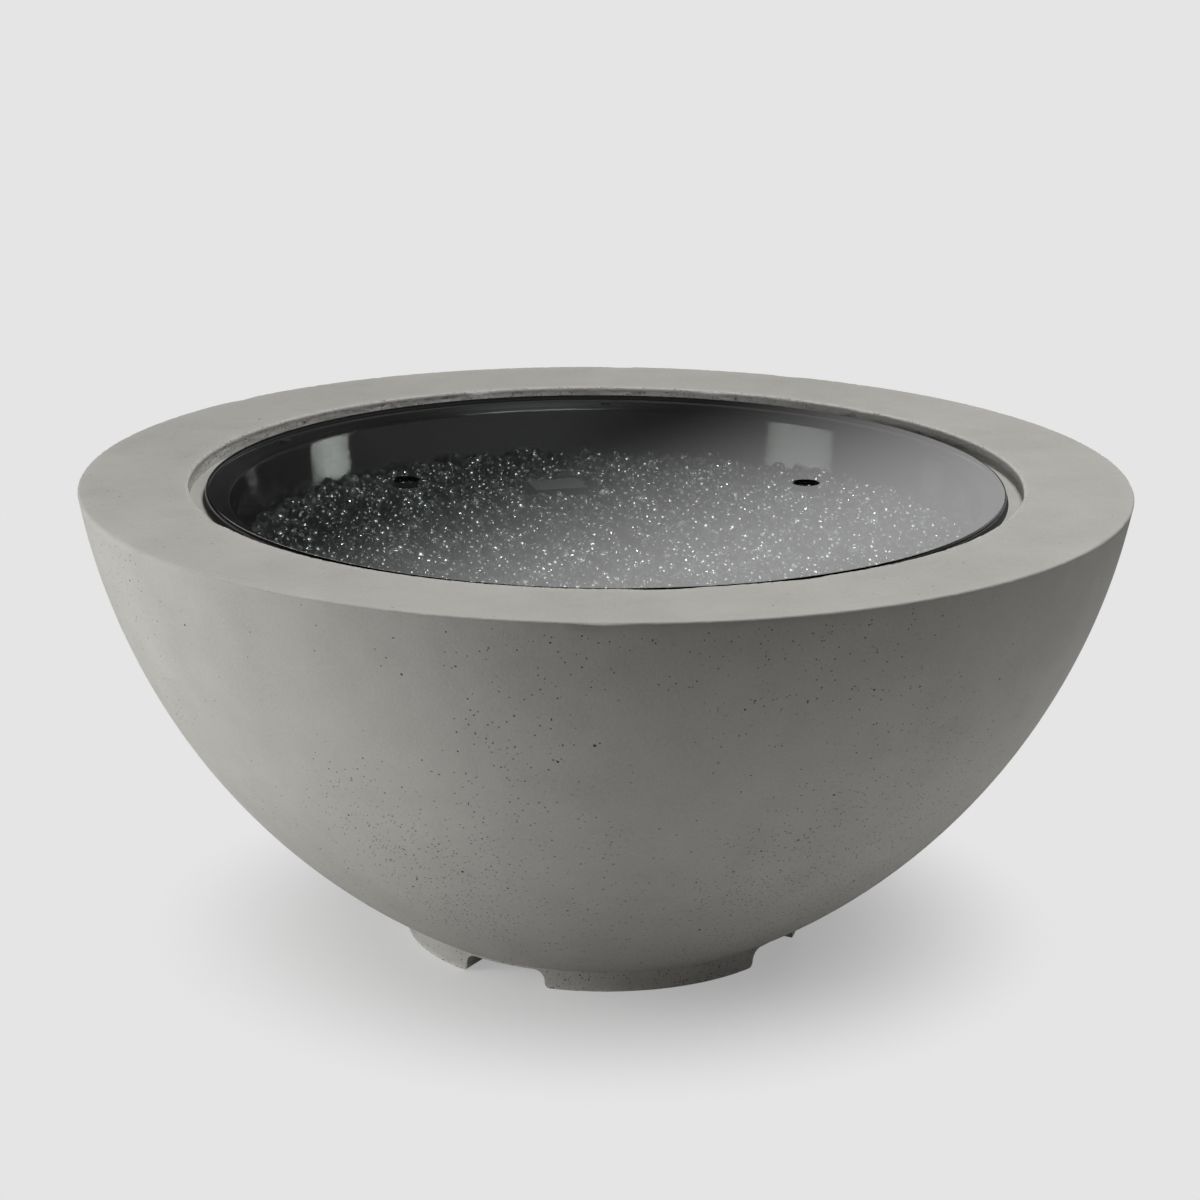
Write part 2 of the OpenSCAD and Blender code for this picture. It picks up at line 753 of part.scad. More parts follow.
module valve_stem() {
    color("#d0d2d3") out_of_panel(knob_x) {
        translate([0, 0, -stem_back]) cylinder(d = stem_d, h = stem_back + knob_ceiling);
        translate([0, 0, knob_ceiling]) stem_end_shape(0);
    }
}

module stem_washer() {
    color("#e4e2da") out_of_panel(knob_x) translate([0, 0, stem_washer_z])
        tube(2 * knob_skirt_r - 6, stem_d + 2 * run_gap, stem_washer_t);
}

module knob_outline() {
    knob_r = knob_d / 2;
    grip_r = knob_r - 1.5;
    edge_r = 3;
    polygon(concat(
        [[0, knob_base], [knob_r, knob_base], [knob_r, knob_base + skirt_h - 1], [grip_r, knob_base + skirt_h]],
        arc_points([grip_r - edge_r - 0.5, knob_end - edge_r], edge_r, 0, 90),
        [[0, knob_end]]
    ));
}

module control_knob() {
    pointer_w = 3;
    pointer_t = 0.8;
    color("#2b2b2c") out_of_panel(knob_x) difference() {
        union() {
            rotate_extrude() knob_outline();
            translate([-pointer_w / 2, -knob_d / 2 + 6, knob_end - pointer_t])
                cube([pointer_w, knob_d / 2 - 8, 2 * pointer_t]);
        }
        translate([0, 0, knob_base - over]) cylinder(r = knob_skirt_r, h = knob_ceiling - knob_base + over);
        translate([0, 0, knob_ceiling - fit_gap]) stem_end_shape(fit_gap);
        ring_of(knob_flutes, knob_d / 2 + flute_out)
            translate([0, 0, knob_base + skirt_h + 1]) cylinder(r = flute_r, h = knob_h);
        translate([0, 0, set_screw_z]) rotate([0, 90, 0])
            cylinder(d = set_screw_d + 2 * fit_gap, h = knob_d);
    }
}

module knob_set_screw() {
    color("#4a4b4d") out_of_panel(knob_x) translate([stem_flat, 0, set_screw_z]) rotate([0, 90, 0])
        cylinder(d = set_screw_d, h = knob_d / 2 - stem_flat - 4);
}

module igniter_housing() {
    color("#353637") out_of_panel(button_x) difference() {
        union() {
            translate([0, 0, panel_t]) cylinder(d = igniter_flange_d, h = igniter_flange_t);
            translate([0, 0, igniter_end - igniter_back_t])
                cylinder(d = igniter_d, h = igniter_face - igniter_end + igniter_back_t - over);
            translate([0, 0, igniter_end - igniter_back_t - terminal_len])
                cylinder(d = terminal_d, h = terminal_len + over);
        }
        translate([0, 0, igniter_face - button_bore])
            cylinder(d = button_d + 2 * run_gap, h = button_bore + over);
        translate([0, 0, igniter_end])
            cylinder(d = battery_d + 2 * battery_gap, h = igniter_face - igniter_end);
    }
}

module igniter_locknut() {
    color("#2e2f30") out_of_panel(button_x) translate([0, 0, -igniter_nut_t])
        hex_nut(igniter_nut_af, igniter_d + 2 * fit_gap, igniter_nut_t);
}

module igniter_button() {
    button_r = button_d / 2;
    color("#1f2021") out_of_panel(button_x) translate([0, 0, igniter_face]) rotate_extrude()
        polygon(concat(
            [[0, -button_in], [button_r, -button_in]],
            arc_points([button_r - 2, button_out - 2], 2, 0, 90),
            [[button_r - 4, button_out - 0.6], [0, button_out - 0.6]]
        ));
}

module igniter_battery() {
    color("#6d6f72") out_of_panel(button_x) translate([0, 0, igniter_end + battery_gap]) {
        cylinder(d = battery_d, h = battery_len - battery_tip);
        cylinder(d = battery_tip_d, h = battery_len);
    }
}

module spark_lead() {
    color("#9c3a2e") swept_tube(spark_route, spark_d, [1, 0, 0], 8, 4);
}

// Igniter hood and what stands under it

module igniter_bracket() {
    span = hood_w + 2 * hood_tab_w;
    color("#a8abad") at_hood() difference() {
        translate([-span / 2, -hood_tab_depth / 2, pan_floor_z]) cube([span, hood_tab_depth, bracket_t]);
        translate([0, 0, pan_floor_z - over]) {
            translate([probe_pitch / 2, 0, 0]) cylinder(d = insulator_d + 2 * fit_gap, h = bracket_t + 2 * over);
            translate([-probe_pitch / 2, 0, 0]) cylinder(d = probe_d + 2 * fit_gap, h = bracket_t + 2 * over);
            for (x = [-1, 1])
                translate([x * hood_screw_x, 0, 0]) cylinder(d = screw_d + 2 * screw_gap, h = bracket_t + 2 * over);
        }
    }
}

module electrode_insulator() {
    color("#f1efe8") at_hood() translate([probe_pitch / 2, 0, 0]) difference() {
        union() {
            translate([0, 0, pan_floor_z - insulator_drop])
                cylinder(d = insulator_d, h = insulator_drop + insulator_rise);
            translate([0, 0, bracket_z]) cylinder(d = insulator_d + 4, h = probe_collar);
        }
        translate([0, 0, pan_floor_z - insulator_drop + 4])
            cylinder(d = rod_d + 2 * fit_gap, h = insulator_drop + insulator_rise);
    }
}

module electrode_rod() {
    top = pan_floor_z + insulator_rise + rod_rise;
    base = pan_floor_z - insulator_drop + 4;
    color("#8d9093") at_hood() translate([probe_pitch / 2, 0, 0]) {
        translate([0, 0, base]) cylinder(d = rod_d, h = top - base);
        translate([0, 0, top]) sphere(d = rod_d);
        translate([0, 0, top]) rotate([0, -90, 0]) cylinder(d = rod_d, h = probe_pitch / 2);
    }
}

module thermocouple() {
    color("#b3713f") at_hood() translate([-probe_pitch / 2, 0, 0]) {
        translate([0, 0, pan_floor_z - insulator_drop])
            cylinder(d = probe_d, h = insulator_drop + probe_rise - probe_d / 2);
        translate([0, 0, pan_floor_z + probe_rise - probe_d / 2]) sphere(d = probe_d);
        translate([0, 0, bracket_z]) cylinder(d = probe_d + 4, h = probe_collar);
    }
}

module thermocouple_lead() {
    color("#b87333") swept_tube(couple_route, couple_d, [1, 0, 0], 8, 4);
}

module igniter_hood() {
    slot = 5;
    slot_h = 18;
    color("#b9bcbe") at_hood() difference() {
        union() {
            translate([-hood_w / 2, -hood_depth / 2, bracket_z])
                cube([hood_w, hood_depth, hood_top_z - bracket_z]);
            translate([-hood_w / 2 - hood_tab_w, -hood_tab_depth / 2, bracket_z])
                cube([hood_w + 2 * hood_tab_w, hood_tab_depth, hood_t]);
        }
        translate([-hood_w / 2 + hood_t, -hood_depth / 2 + hood_t, bracket_z - over])
            cube([hood_w - 2 * hood_t, hood_depth - 2 * hood_t, hood_top_z - bracket_z - hood_t + over]);
        for (x = [-2 : 2])
            translate([x * 2 * slot - slot / 2, -hood_depth, bracket_z + 6]) cube([slot, 2 * hood_depth, slot_h]);
        for (x = [-1, 1])
            translate([x * hood_screw_x, 0, bracket_z - over])
                cylinder(d = screw_d + 2 * screw_gap, h = hood_t + 2 * over);
    }
}

module hood_screws() {
    color("#c8cacb") at_hood() for (x = [-1, 1])
        translate([x * hood_screw_x, 0, hood_z]) screw(hood_screw_len);
}

// Fire glass

module gem_bed() {
    base = pan_floor_z + bed_gap;
    tab_h = hood_z + screw_head_t + burner_gap - base;
    side = pan_floor_z + pan_corner_r;
    ring_w = ring_tube_d + 2 * burner_gap;
    color("#9aa2a4") difference() {
        rotate_extrude($fn = turn_fn) difference() {
            polygon([
                [0, base], [pan_foot_r - pan_corner_r - bed_gap, base], [pan_in_r(side) - bed_gap, side],
                [pan_in_r(bed_z) - bed_gap, bed_z], [0, bed_z]
            ]);
            for (r = [outer_ring_r, inner_ring_r]) {
                translate([r, ring_z]) circle(ring_w / 2);
                translate([r - ring_w / 2, base - over]) square([ring_w, ring_z - base + over]);
            }
            translate([0, base - over]) square([hub_d / 2 + burner_gap, hub_top_z - base + burner_gap + over]);
        }
        for (k = [0 : cross_tubes - 1]) rotate(cross_turn + 360 * k / cross_tubes) {
            channel_w = cross_tube_d + 2 * burner_gap;
            translate([0, 0, ring_z]) rotate([0, 90, 0]) cylinder(d = channel_w, h = outer_ring_r);
            translate([0, -channel_w / 2, base - over]) cube([outer_ring_r, channel_w, ring_z - base + over]);
        }
        at_hood() {
            hood_hole = [hood_w + 2 * burner_gap, hood_depth + 2 * burner_gap];
            tabs = [hood_w + 2 * hood_tab_w + 2 * burner_gap, hood_tab_depth + 2 * burner_gap];
            translate([-hood_hole.x / 2, -hood_hole.y / 2, base - over]) cube([hood_hole.x, hood_hole.y, bed_drop]);
            translate([-tabs.x / 2, -tabs.y / 2, base - over]) cube([tabs.x, tabs.y, tab_h + over]);
        }
    }
}

module top_gems() {
    reach = pan_in_r(bed_z) - gem_d / 2 - 2 * bed_gap;
    count = floor(pow(reach / gem_spread, 2));
    golden = 180 * (3 - sqrt(5));
    clear = gem_d / 2 + burner_gap;
    color("#c3cacc") for (k = [1 : count]) {
        spot = gem_spread * sqrt(k) * [cos(golden * k), sin(golden * k)];
        beside = abs(spot.x) > hood_w / 2 + clear || abs(spot.y - hood_y) > hood_depth / 2 + clear;
        if (beside) translate([spot.x, spot.y, bed_z + gem_d / 2 + bed_gap / 2]) sphere(d = gem_d, $fn = 24);
    }
}

// Glass cover

module glass_cover() {
    color("#7d8486", 0.6) translate([0, 0, glass_z]) difference() {
        rotate_extrude($fn = turn_fn) {
            square([glass_r - glass_t / 2, glass_t]);
            translate([glass_r - glass_t / 2, glass_t / 2]) circle(d = glass_t);
        }
        rotate(cover_turn) for (x = [-1, 1])
            translate([x * finger_hole_pitch / 2, 0, -over]) cylinder(d = finger_hole_d, h = glass_t + 2 * over);
    }
}

module cover_bumpers() {
    color("#d8dcdc") translate([0, 0, flange_z])
        ring_of(bumpers, glass_r - bumper_d / 2 - glass_t / 2, cover_turn + 180 / bumpers)
            cylinder(d = bumper_d, h = bumper_h);
}

concrete_bowl();
burner_pan();
burner_manifold();
ring_clips();
burner_nipple();
pan_washer();
pan_locknut();
air_mixer();
orifice_elbow();
gas_flex_line();
flare_nuts();
gas_valve_body();
valve_locknut();
valve_stem();
stem_washer();
control_knob();
knob_set_screw();
control_panel();
panel_screws();
igniter_housing();
igniter_locknut();
igniter_button();
igniter_battery();
spark_lead();
electrode_insulator();
electrode_rod();
thermocouple();
thermocouple_lead();
igniter_bracket();
igniter_hood();
hood_screws();
gem_bed();
top_gems();
glass_cover();
cover_bumpers();
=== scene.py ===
import json
import math
import random

import bmesh
import bpy
from mathutils import Euler, Matrix, Vector, noise


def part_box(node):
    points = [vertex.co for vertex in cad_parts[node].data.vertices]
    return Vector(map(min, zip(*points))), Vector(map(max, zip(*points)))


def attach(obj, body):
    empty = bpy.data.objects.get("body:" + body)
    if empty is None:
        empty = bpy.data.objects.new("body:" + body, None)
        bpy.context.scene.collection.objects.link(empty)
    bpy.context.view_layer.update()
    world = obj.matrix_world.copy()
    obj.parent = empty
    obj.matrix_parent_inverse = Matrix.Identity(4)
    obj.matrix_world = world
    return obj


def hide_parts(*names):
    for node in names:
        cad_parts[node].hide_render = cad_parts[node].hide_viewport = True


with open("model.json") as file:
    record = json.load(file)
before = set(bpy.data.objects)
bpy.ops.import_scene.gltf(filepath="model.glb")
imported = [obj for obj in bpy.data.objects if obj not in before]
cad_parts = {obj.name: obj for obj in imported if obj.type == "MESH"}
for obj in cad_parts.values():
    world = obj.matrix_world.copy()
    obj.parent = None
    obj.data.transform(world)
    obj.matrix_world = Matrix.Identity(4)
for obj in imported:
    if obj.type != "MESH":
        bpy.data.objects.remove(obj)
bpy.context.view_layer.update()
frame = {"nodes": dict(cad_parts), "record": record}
nodes = frame["nodes"]
scene = bpy.context.scene
print("frame loaded, {} solids".format(len(nodes)))

# levels and widths that the pieces share, read off the solids
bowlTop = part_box("concrete_bowl")[1].z
coverLow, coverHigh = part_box("glass_cover")
panLow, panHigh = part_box("burner_pan")
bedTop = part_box("gem_bed")[1].z
hoodLow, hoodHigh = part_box("igniter_hood")
panelLow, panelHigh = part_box("control_panel")


# camera, where the photograph was taken from

view = {
    "turn": -16.0,           # degrees round the bowl, from straight in front
    "rise": 15.862,          # degrees above level
    "distance": 3.6287,
    "lens": 105.86,
    "sensor": 36,
    "roll": 0.465,
    "aimAside": -0.0051,     # where it points, off the bowl's axis and below its rim
    "aimDrop": 0.1310,
}
turn = math.radians(view["turn"])
rise = math.radians(view["rise"])
cameraRight = Vector((math.cos(turn), math.sin(turn), 0))
towardCamera = Vector((math.sin(turn), -math.cos(turn), 0))


def placeCamera():
    aim = cameraRight * view["aimAside"] + Vector((0, 0, bowlTop - view["aimDrop"]))
    back = towardCamera * math.cos(rise) + Vector((0, 0, math.sin(rise)))
    up = back.cross(cameraRight)
    roll = math.radians(view["roll"])
    right = cameraRight * math.cos(roll) + up * math.sin(roll)
    data = bpy.data.cameras.new("viewCamera")
    data.lens = view["lens"]
    data.sensor_width = view["sensor"]
    camera = bpy.data.objects.new("viewCamera", data)
    scene.collection.objects.link(camera)
    axes = Matrix((right, back.cross(right), back)).transposed()
    camera.matrix_world = Matrix.Translation(aim + back * view["distance"]) @ axes.to_4x4()
    scene.camera = camera


placeCamera()
print("camera placed")


# shader maths

class Value:  # a node's output that takes part in sums
    def __init__(self, finish, socket):
        self.finish = finish
        self.socket = socket

    def sum(self, operation, first, second):
        return self.finish.node("ShaderNodeMath", {"operation": operation}, {0: first, 1: second})[0]

    def __add__(self, other):
        return self.sum("ADD", self, other)

    def __radd__(self, other):
        return self.sum("ADD", other, self)

    def __sub__(self, other):
        return self.sum("SUBTRACT", self, other)

    def __rsub__(self, other):
        return self.sum("SUBTRACT", other, self)

    def __mul__(self, other):
        return self.sum("MULTIPLY", self, other)

    def __rmul__(self, other):
        return self.sum("MULTIPLY", other, self)

    def __truediv__(self, other):
        return self.sum("DIVIDE", self, other)

    def __rtruediv__(self, other):
        return self.sum("DIVIDE", other, self)

    def __lt__(self, other):
        return self.sum("LESS_THAN", self, other)


class Finish:  # one node tree, of a material or of the world
    def __init__(self, name, owner=None):
        self.material = owner or bpy.data.materials.new(name)
        self.material.use_nodes = True
        self.tree = self.material.node_tree
        self.tree.nodes.clear()

    def node(self, kind, settings=None, sockets=None):
        made = self.tree.nodes.new(kind)
        for key, value in (settings or {}).items():
            setattr(made, key, value)
        for key, value in (sockets or {}).items():
            if isinstance(value, Value):
                self.tree.links.new(value.socket, made.inputs[key])
            else:
                made.inputs[key].default_value = value
        outputs = {}
        for index, socket in enumerate(made.outputs):
            outputs[index] = Value(self, socket)
            outputs.setdefault(socket.name, outputs[index])
        return outputs

    def place(self):
        return self.node("ShaderNodeTexCoord")["Object"]

    def heightOf(self, place):
        return self.node("ShaderNodeSeparateXYZ", None, {"Vector": place})["Z"]

    def lengthOf(self, vector):
        return self.node("ShaderNodeVectorMath", {"operation": "LENGTH"}, {0: vector})["Value"]

    def stretched(self, place, x, y, z):
        sockets = {0: place, 1: (x, y, z)}
        return self.node("ShaderNodeVectorMath", {"operation": "MULTIPLY"}, sockets)["Vector"]

    def mark(self, name):  # a value that the mesh carries
        return self.node("ShaderNodeAttribute", {"attribute_name": name})["Fac"]

    def clouds(self, place, scale, detail=4.0, roughness=0.55):
        sockets = {"Vector": place, "Scale": scale, "Detail": detail, "Roughness": roughness}
        return self.node("ShaderNodeTexNoise", None, sockets)["Fac"]

    def cells(self, place, scale):
        return self.node("ShaderNodeTexVoronoi", {"feature": "F1"}, {"Vector": place, "Scale": scale})

    def larger(self, first, second):
        return self.node("ShaderNodeMath", {"operation": "MAXIMUM"}, {0: first, 1: second})[0]

    def ramp(self, value, low, high):  # 0 at low, 1 at high, smooth between
        sockets = {"Value": value, "From Min": low, "From Max": high}
        return self.node("ShaderNodeMapRange", {"interpolation_type": "SMOOTHSTEP"}, sockets)["Result"]

    def mixed(self, share, first, second):
        settings = {"data_type": "RGBA", "clamp_factor": True}
        return self.node("ShaderNodeMix", settings, {0: share, 6: first, 7: second})[2]

    def shaded(self, colour, share):  # a colour made lighter or darker
        scaled = {"Vector": colour if isinstance(colour, Value) else colour[:3], "Scale": share}
        return self.node("ShaderNodeVectorMath", {"operation": "SCALE"}, scaled)["Vector"]

    def bump(self, height):  # height in metres
        sockets = {"Height": height, "Strength": 1.0, "Distance": 1.0}
        return self.node("ShaderNodeBump", None, sockets)["Normal"]

    def skin(self, sockets):
        return self.node("ShaderNodeBsdfPrincipled", None, sockets)["BSDF"]

    def blended(self, share, first, second):  # two shaders
        return self.node("ShaderNodeMixShader", None, {0: share, 1: first, 2: second})["Shader"]

    def lampsThrough(self, shader, tint):  # glass that lets the lamps shine through it
        path = self.node("ShaderNodeLightPath")
        clear = self.node("ShaderNodeBsdfTransparent", None, {"Color": tint})["BSDF"]
        return self.blended(path["Is Shadow Ray"], shader, clear)

    def done(self, shader):
        self.node("ShaderNodeOutputMaterial", None, {"Surface": shader})
        return self.material


def linear(red, green, blue):  # a colour as picked on screen, 0 to 255
    parts = []
    for part in (red, green, blue):
        share = part / 255
        parts.append(share / 12.92 if share <= 0.04045 else ((share + 0.055) / 1.055) ** 2.4)
    return (*parts, 1.0)


# finishes

concreteLook = {
    "pale": linear(180, 178, 173),
    "dark": linear(154, 152, 147),
    # painted shade inside the pits and holes
    "pit": linear(52, 50, 47),
    "gapShade": linear(26, 25, 24),         # painted shade on the back of the ledge, in the gap under the cover
    "freshAndLit": linear(196, 194, 190),     # where an edge has chipped, and as painted light on the edges and on the mouth's wall
    "clouds": (4.2, 5, 0.62),           # scale, detail and roughness of each kind of patch
    "blotches": (19, 5, 0.6),
    "grain": (330, 3, 0.7),
    "speckle": (900, 2, 0.6),
    "holes": (420, 4, 0.75),            # in the porous wall of the mouth
    "crowds": (3.1, 2),                 # patches where the pits crowd
    "crowdPatch": (0.42, 0.62),
    "crowdHeights": (0.34, 0.06),       # they crowd more from the one down to the other
    "crowdShare": 0.55,                 # of either
    "rimFree": (0.001, 0.012),          # below the top, as hardly any are on the rim
    # cells to a metre, a pit's share of its cell, cells with a pit, and how many more in a crowd
    "finePits": (330, 0.33, 0.01, 0.75),
    "smallPits": (120, 0.165, 0.01, 0.3),
    "largePits": (34, 0.075, 0.03, 0.42),
    "pitLeast": 0.35,                   # the smallest of them, to the largest
    "pitEdge": 0.6,                     # share of its radius that is deep
    "pitDepth": 0.0011,
    "holeDepth": 0.0012,
}


def castConcrete():
    c = concreteLook
    f = Finish("castConcrete")
    place = f.place()
    clouds = f.clouds(place, *c["clouds"])
    blotches = f.clouds(place, *c["blotches"])
    grain = f.clouds(place, *c["grain"])
    speckle = f.clouds(place, *c["speckle"])

    def pits(kind, crowd):  # round pits in a share of the cells
        scale, size, always, more = c[kind]
        cells = f.cells(place, scale)
        lot = f.node("ShaderNodeSeparateColor", None, {"Color": cells["Color"]})
        reach = size * (c["pitLeast"] + (1 - c["pitLeast"]) * lot["Green"])
        return (lot["Red"] < always + more * crowd) * f.ramp(cells["Distance"] / reach, 1.0, c["pitEdge"])

    height = f.heightOf(place)
    crowd = c["crowdShare"] * f.ramp(f.clouds(place, *c["crowds"]), *c["crowdPatch"])
    crowd = crowd + c["crowdShare"] * f.ramp(height, *c["crowdHeights"])
    crowd = crowd * f.ramp(height, *[bowlTop - drop for drop in c["rimFree"]])
    fine = pits("finePits", crowd * crowd)
    pitted = f.larger(0.9 * fine, f.larger(pits("smallPits", crowd), pits("largePits", crowd)))
    # the chipped mark: chips, and edges painted lighter as wear and as a painted highlight line
    chip = f.mark("chipped")
    # the mouth's wall and edge: pits, and painted light that makes them lighter
    porousAndLit = f.mark("porousAndLit")
    holes = porousAndLit * f.ramp(f.clouds(place, *c["holes"]), 0.43, 0.36)
    tone = 0.5 + (clouds - 0.5) + 0.6 * (blotches - 0.5) + 0.8 * (grain - 0.5) + 0.6 * (speckle - 0.5)
    colour = f.mixed(tone, c["dark"], c["pale"])
    # chips lighter; edges and the mouth's wall lighter as painted light; pits and holes darker as painted
    # shade in them; one side of the ledge darker as painted shade in the gap under the cover
    layers = ((0.6, chip, "freshAndLit"), (0.75, porousAndLit, "freshAndLit"), (0.95, pitted, "pit"), (0.75, holes, "pit"),
              (0.9, f.mark("gapShadeMask"), "gapShade"))
    for share, mask, tint in layers:
        colour = f.mixed(share * mask, colour, c[tint])
    relief = 0.0007 * blotches + 0.00025 * grain + 0.0001 * speckle + 0.0008 * chip * grain
    relief = relief - c["pitDepth"] * pitted - c["holeDepth"] * holes
    shader = f.skin({
        "Base Color": colour, "Roughness": 0.82 + 0.16 * grain, "Specular IOR Level": 0.32,
        "Normal": f.bump(relief),
    })
    return f.done(shader)


panLook = {
    "steel": linear(94, 94, 93),
    "flange": linear(62, 62, 62),       # darker, as painted shade under the edge of the cover
    "flangeFrom": 0.381,
    "flangeFade": 0.002,
    "flangeRough": 0.4,
    "roughness": 0.13,
    "streaks": (6, 6, 900),             # long round the pan and short in height
    "streakDepth": 0.00002,
    "lean": 0.13,                       # the wall opens a little to the top
}


def brushedSteel():
    p = panLook
    f = Finish("brushedSteel")
    place = f.place()
    smudge = f.clouds(place, 9, 3)
    streaks = f.clouds(f.stretched(place, *p["streaks"]), 1.0, 2, 0.5)
    reach = f.lengthOf(f.stretched(place, 1, 1, 0))
    # the flange under the cover's edge: painted shade in its colour, and rougher
    flange = f.ramp(reach, p["flangeFrom"], p["flangeFrom"] + p["flangeFade"])
    colour = f.mixed(flange, p["steel"], p["flange"])
    uneven = 0.8 + 0.3 * smudge + 0.25 * (streaks - 0.5)
    shader = f.skin({
        "Base Color": f.shaded(colour, 0.94 + 0.1 * smudge), "Metallic": 1.0,
        "Roughness": p["roughness"] * uneven + p["flangeRough"] * flange,
        "Anisotropic": 1.0, "Anisotropic Rotation": 0.25,
        "Normal": f.bump(p["streakDepth"] * streaks - p["lean"] * f.heightOf(place)),
    })
    return f.done(shader)


def plainMetal(name, colour, roughness, dull=0.1, grain=260, depth=0.00003):
    f = Finish(name)
    place = f.place()
    smudge = f.clouds(place, 40, 4)
    fine = f.clouds(place, grain, 3, 0.6)
    shader = f.skin({
        "Base Color": f.shaded(colour, 1 - dull + 2 * dull * smudge), "Metallic": 1.0,
        "Roughness": roughness * (0.75 + 0.5 * smudge), "Normal": f.bump(depth * fine),
    })
    return f.done(shader)


def moulded(name, colour, roughness, grain=500, depth=0.00005):
    f = Finish(name)
    place = f.place()
    smudge = f.clouds(place, 30, 3)
    fine = f.clouds(place, grain, 2, 0.5)
    shader = f.skin({
        "Base Color": f.shaded(colour, 0.93 + 0.14 * smudge), "Specular IOR Level": 0.5,
        "Roughness": roughness * (0.88 + 0.24 * smudge), "Normal": f.bump(depth * fine),
    })
    return f.done(shader)


coverLook = {
    "ior": 1.52,
    "tint": linear(240, 242, 241),
    # near black on the cover's side, rounded rims and holes: the dark of a tinted glass edge, and painted
    # shade of the gap under the cover
    "edge": linear(18, 19, 19),
    "edgeRough": 0.14,
}


def smokedGlass():  # a flat sheet, so it mirrors where a ray comes in and bends nothing
    g = coverLook
    f = Finish("smokedGlass")
    leaving = f.node("ShaderNodeNewGeometry")["Backfacing"]
    oneFace = f.node("ShaderNodeFresnel", None, {"IOR": g["ior"]})["Fac"]
    share = (1 - leaving) * (2 * oneFace / (1 + oneFace))  # both faces of the sheet
    tinted = f.node("ShaderNodeBsdfTransparent", None, {"Color": g["tint"]})["BSDF"]
    gloss = f.node("ShaderNodeBsdfGlossy", None, {"Color": (1, 1, 1, 1), "Roughness": 0.0})["BSDF"]
    edge = f.skin({"Base Color": g["edge"], "Roughness": g["edgeRough"], "IOR": g["ior"]})
    return f.done(f.blended(f.mark("ground"), f.blended(share, tinted, gloss), edge))


gemLook = {
    "murky": linear(136, 139, 139),
    "clear": linear(218, 221, 221),
    "lampTint": linear(205, 208, 208),
    "roughness": 0.28,
    "ior": 1.5,
    "coatIor": 2.8,
    # least coat, the lots over which it grows to 1, and its roughness
    "softGem": (0.2, (0.3, 1.0), 0.3),
    "brightGem": (0.01, (0.72, 1.0), 0.04),
}


def clearGem(name):
    g = gemLook
    least, lots, coatRough = g[name]
    f = Finish(name)
    lot = f.mark("lot")  # from 0 to 1, one for each gem
    other = f.node("ShaderNodeMath", {"operation": "FRACT"}, {0: 7 * lot})[0]
    shader = f.skin({
        "Base Color": f.mixed(f.ramp(lot, 0.5, 1.0), g["murky"], g["clear"]),
        "Roughness": g["roughness"], "IOR": g["ior"], "Transmission Weight": 1.0,
        "Coat Weight": least + (1 - least) * f.ramp(other, *lots),
        "Coat Roughness": coatRough, "Coat IOR": g["coatIor"],
    })
    return f.done(f.lampsThrough(shader, g["lampTint"]))


bedLook = {
    "pale": linear(84, 88, 88),
    # painted shade between the gems
    "deep": linear(30, 32, 32),
    "cells": 85.0,
    "dip": 0.004,
    "roughness": 0.2,
}


def gemDepth():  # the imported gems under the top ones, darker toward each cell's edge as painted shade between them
    f = Finish("gemDepth")
    away = f.cells(f.place(), bedLook["cells"])["Distance"]
    colour = f.mixed(f.ramp(away, 0.25, 0.75), bedLook["pale"], bedLook["deep"])
    shader = f.skin({
        "Base Color": colour, "Roughness": bedLook["roughness"],
        "Normal": f.bump(-bedLook["dip"] * away),
    })
    return f.done(shader)


finishes = {
    "concrete": castConcrete(),
    "stainless": brushedSteel(),
    "burner_steel": plainMetal("burnerSteel", linear(186, 183, 178), 0.36),
    "hood_steel": moulded("hoodSteel", linear(78, 78, 79), 0.4, 900),
    "plated_steel": plainMetal("platedSteel", linear(190, 190, 184), 0.3),
    "screw_steel": plainMetal("screwSteel", linear(200, 200, 198), 0.24),
    "brass": plainMetal("turnedBrass", linear(206, 172, 96), 0.28),
    "copper": plainMetal("copperTube", linear(206, 138, 102), 0.3),
    "coated_hose": moulded("coatedHose", linear(214, 186, 74), 0.42),
    "black_panel": moulded("powderCoat", linear(52, 53, 54), 0.5, 1400, 0.00012),
    "knob_plastic": moulded("knobPlastic", linear(34, 34, 35), 0.36, 700, 0.00003),
    "igniter_plastic": moulded("igniterPlastic", linear(40, 40, 41), 0.4),
    "white_plastic": moulded("whitePlastic", linear(232, 230, 224), 0.4),
    "battery_can": plainMetal("batteryCan", linear(150, 152, 156), 0.28),
    "lead_rubber": moulded("leadRubber", linear(150, 52, 40), 0.6),
    "white_ceramic": moulded("whiteCeramic", linear(236, 233, 226), 0.22),
    "fire_glass": gemDepth(),
    "cover_glass": smokedGlass(),
    "bumper_rubber": moulded("bumperRubber", linear(72, 73, 72), 0.5),
}
slotOf = {part["node"]: part["material_slot"] for part in frame["record"]["subparts"]}
for name, solid in nodes.items():
    solid.data.materials.clear()
    solid.data.materials.append(finishes[slotOf[name]])
print("finishes made")


# meshes

def addPiece(name, mesh, body, slot, stands=(), finish=None):
    piece = looseObject(name, mesh)
    mesh.materials.clear()
    mesh.materials.append(finish or finishes[slot])
    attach(piece, body)
    if stands:
        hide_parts(*stands)
    return piece


def looseObject(name, mesh):
    made = bpy.data.objects.new(name, mesh)
    scene.collection.objects.link(made)
    return made


def smoothed(mesh, angle):
    mesh.shade_smooth()
    mesh.set_sharp_from_angle(angle=math.radians(angle))
    return mesh


def markMesh(mesh, name, values, where="POINT"):
    mesh.attributes.new(name, "FLOAT", where).data.foreach_set("value", values)


